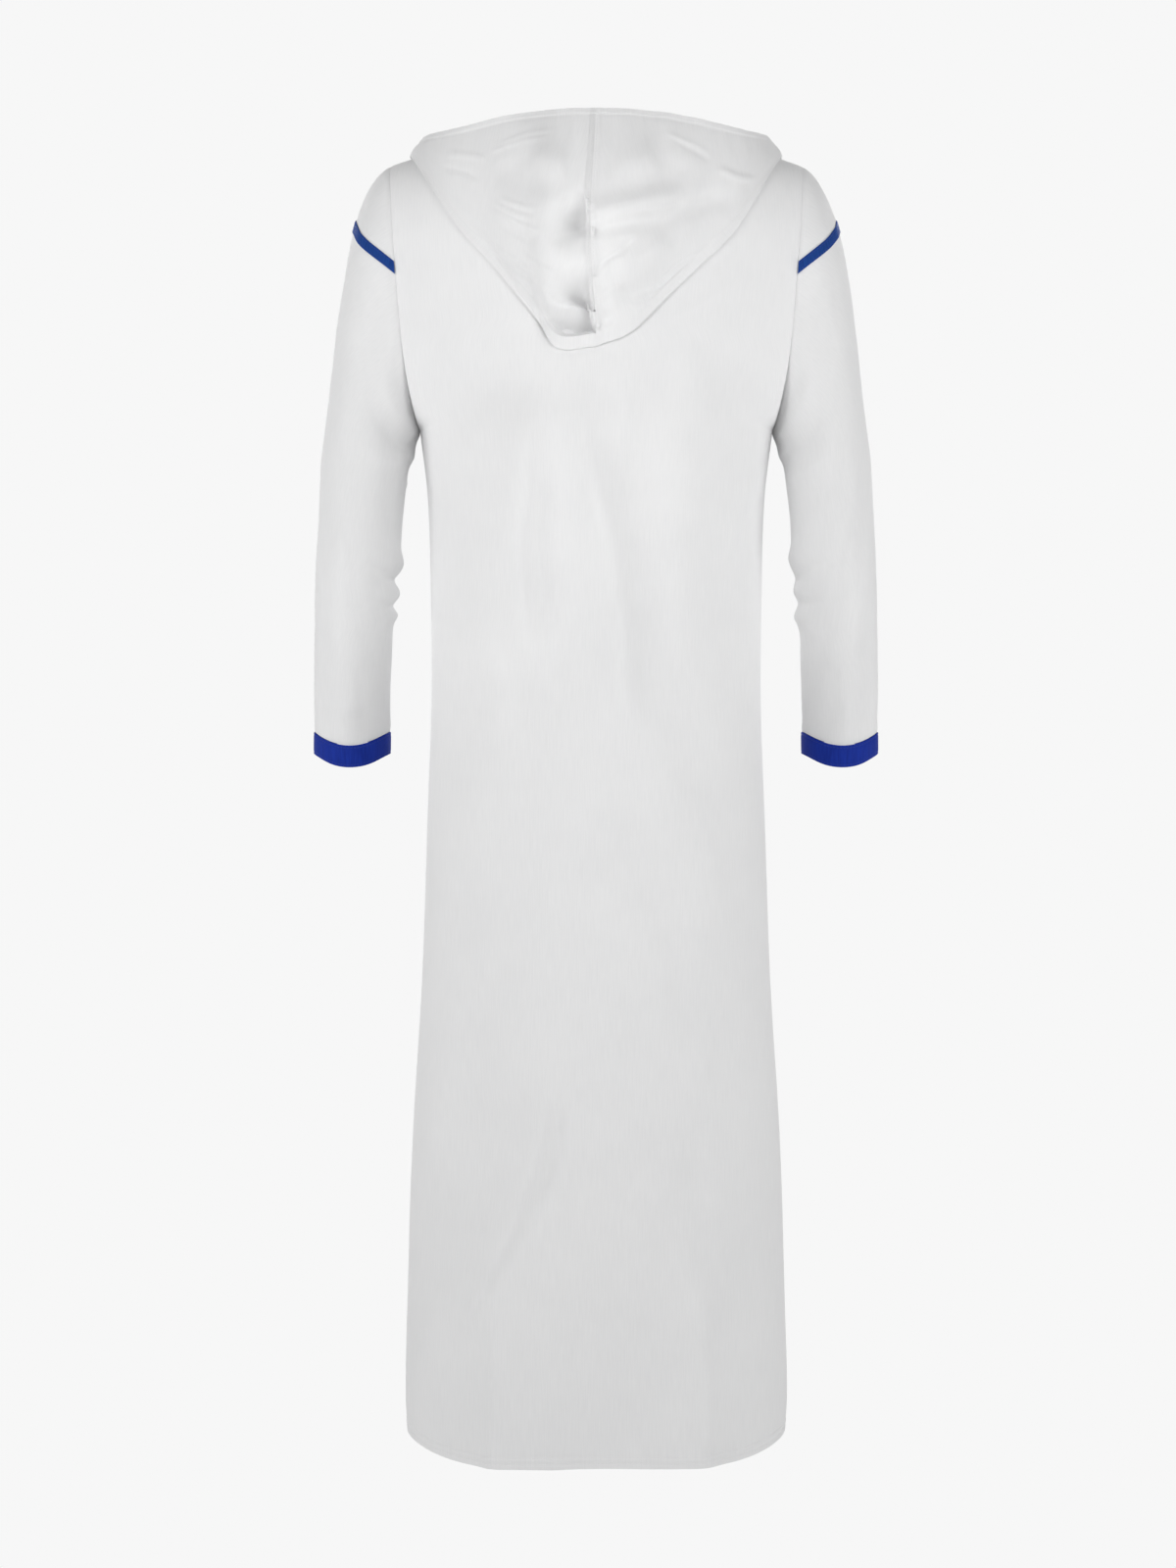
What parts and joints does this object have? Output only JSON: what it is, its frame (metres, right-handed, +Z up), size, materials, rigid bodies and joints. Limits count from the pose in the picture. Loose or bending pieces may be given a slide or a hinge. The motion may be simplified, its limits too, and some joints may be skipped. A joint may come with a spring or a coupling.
{
  "type": "hooded thobe robe",
  "caption": "Ankle-length hooded robe in pale cloth with long narrow sleeves, blue cuffs and blue sleeve-cap tapes, filled out as worn, its hood hanging down the back.",
  "frame": {"origin": "in the middle of the neck, level with the tops of the shoulders where the robe hangs from its wearer", "axes": "+Z up along the wearer's height, -Y the way the wearer faces, so +Y is the back, and +X the wearer's left"},
  "size_m": [0.5844, 0.3219, 1.3467],
  "materials": {
    "cloth": "matte",
    "blue_cloth": "matte"
  },
  "bodies": {
    "root": {"back": "cloth", "front": "cloth", "sleeve_left": "cloth", "sleeve_right": "cloth", "cuff_left": "blue_cloth", "cuff_right": "blue_cloth", "sleeve_tape_left": "blue_cloth", "sleeve_tape_right": "blue_cloth", "hood_left": "cloth", "hood_right": "cloth"}
  },
  "joints": []
}
